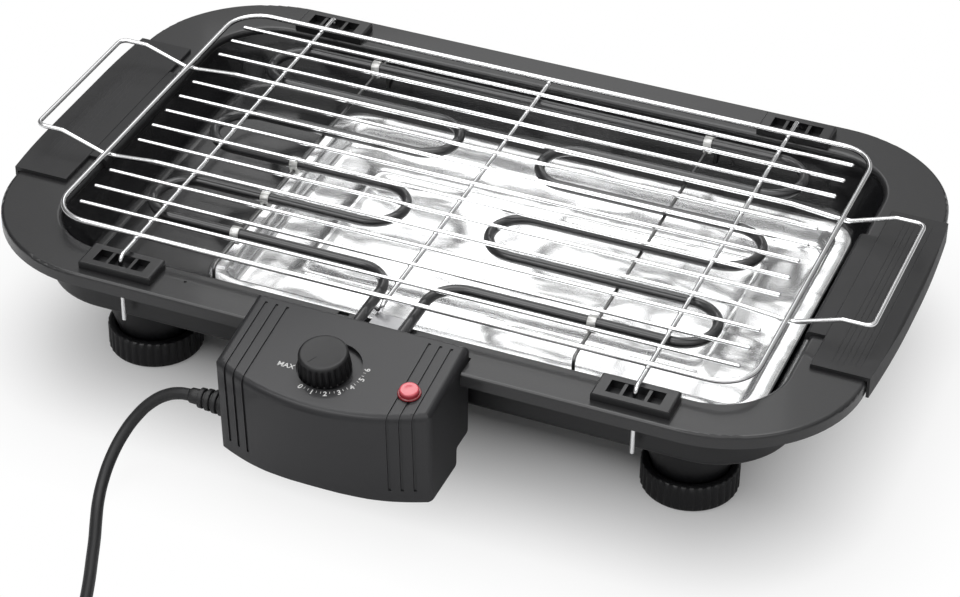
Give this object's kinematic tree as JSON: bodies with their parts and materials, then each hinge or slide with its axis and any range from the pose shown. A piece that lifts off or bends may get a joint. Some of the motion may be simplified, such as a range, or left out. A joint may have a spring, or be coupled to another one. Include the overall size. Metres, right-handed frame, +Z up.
{
  "type": "electric indoor grill",
  "caption": "Tabletop electric grill: oval-cornered black frame and pan on screw feet, drip tray, looped heating tube with plug-in control box, and a lift-off wire rack.",
  "frame": {"origin": "on the table, under the middle of the box round the grill without its free cord", "axes": "+X along the frame's length to the right, +Y from the control box to the back, +Z up"},
  "size_m": [0.531, 0.6176, 0.1103],
  "materials": {
    "frame_enamel": "satin dark grey enamel with fine mottling",
    "pan_enamel": "glossy black enamel",
    "housing_plastic": "black moulded heat-resistant plastic",
    "pad_plastic": "dark grey moulded plastic with fine lines",
    "bracket_plastic": "black moulded plastic",
    "zinc_steel": "zinc-plated steel",
    "insert_brass": "turned brass",
    "foot_plastic": "black moulded plastic with ribs",
    "tray_aluminium": "bright pressed aluminium",
    "tube_coating": "black heat-resistant coating with a soft sheen",
    "support_steel": "bright nickel-plated wire",
    "clip_aluminium": "pale folded metal",
    "box_plastic": "dark grey moulded plastic, finely grained",
    "thermostat_body": "pale brown moulded resin",
    "lens_red": "clear red moulded lens",
    "neon_glass": "small clear lamp",
    "block_plastic": "off-white moulded resin",
    "core_insulation": "soft insulation",
    "cord_rubber": "black flexible cord sheath, slightly shiny",
    "plug_plastic": "black moulded plug",
    "plug_brass": "nickel-plated brass pins",
    "knob_plastic": "black moulded knob with fluted side",
    "rack_chrome": "bright chrome-plated wire"
  },
  "bodies": {
    "base": {"frame": "frame_enamel", "pan": "pan_enamel", "housing": "housing_plastic", "pan_nuts": "zinc_steel", "pad_left": "pad_plastic", "pad_right": "pad_plastic", "pad_washers": "zinc_steel", "bracket_fl": "bracket_plastic", "bracket_fr": "bracket_plastic", "bracket_bl": "bracket_plastic", "bracket_br": "bracket_plastic", "bracket_washers": "zinc_steel", "foot_insert_fl": "insert_brass", "foot_insert_fr": "insert_brass", "foot_insert_bl": "insert_brass", "foot_insert_br": "insert_brass"},
    "foot_front_left": {"foot_fl": "foot_plastic", "foot_stud_fl": "zinc_steel"},
    "foot_front_right": {"foot_fr": "foot_plastic", "foot_stud_fr": "zinc_steel"},
    "foot_back_left": {"foot_bl": "foot_plastic", "foot_stud_bl": "zinc_steel"},
    "foot_back_right": {"foot_br": "foot_plastic", "foot_stud_br": "zinc_steel"},
    "tray": {"drip_tray": "tray_aluminium"},
    "heater": {"element": "tube_coating", "element_pins": "zinc_steel", "support_left": "support_steel", "support_right": "support_steel", "clips_left": "clip_aluminium", "clips_right": "clip_aluminium", "mount_plate": "zinc_steel", "box_shell": "box_plastic", "box_cover": "box_plastic", "box_screws": "zinc_steel", "thermostat": "thermostat_body", "pilot_lens": "lens_red", "pilot_neon": "neon_glass", "terminal_block": "block_plastic", "inner_wires": "core_insulation", "strain_relief": "cord_rubber", "cord_clamp": "block_plastic", "cord": "cord_rubber", "coil": "cord_rubber", "cord_tie": "cord_rubber", "plug": "plug_plastic", "plug_pins": "plug_brass"},
    "knob": {"knob": "knob_plastic", "knob_shaft": "zinc_steel"},
    "rack": {"rack_frame": "rack_chrome", "rack_rods": "rack_chrome", "rack_loop": "rack_chrome", "cross_left": "rack_chrome", "cross_centre": "rack_chrome", "cross_right": "rack_chrome"}
  },
  "joints": [
    {"name": "foot_front_left_turn", "type": "hinge", "parent": "base", "child": "foot_front_left", "pos_m": [-0.168, -0.063, 0.009], "axis": [0, 0, 1], "continuous": true},
    {"name": "foot_front_right_turn", "type": "hinge", "parent": "base", "child": "foot_front_right", "pos_m": [0.168, -0.063, 0.009], "axis": [0, 0, 1], "continuous": true},
    {"name": "foot_back_left_turn", "type": "hinge", "parent": "base", "child": "foot_back_left", "pos_m": [-0.168, 0.119, 0.009], "axis": [0, 0, 1], "continuous": true},
    {"name": "foot_back_right_turn", "type": "hinge", "parent": "base", "child": "foot_back_right", "pos_m": [0.168, 0.119, 0.009], "axis": [0, 0, 1], "continuous": true},
    {"name": "tray_lift", "type": "slide", "parent": "base", "child": "tray", "axis": [0, 0, 1], "range_m": [0, 0.1]},
    {"name": "heater_lift", "type": "slide", "parent": "tray", "child": "heater", "axis": [0, 0, 1], "range_m": [0, 0.12]},
    {"name": "rack_lift", "type": "slide", "parent": "heater", "child": "rack", "axis": [0, 0, 1], "range_m": [0, 0.1]},
    {"name": "knob_turn", "type": "hinge", "parent": "heater", "child": "knob", "pos_m": [-0.012, -0.159, 0.09348], "axis": [0, -0.1609, 0.987], "range_deg": [0, 300]}
  ]
}
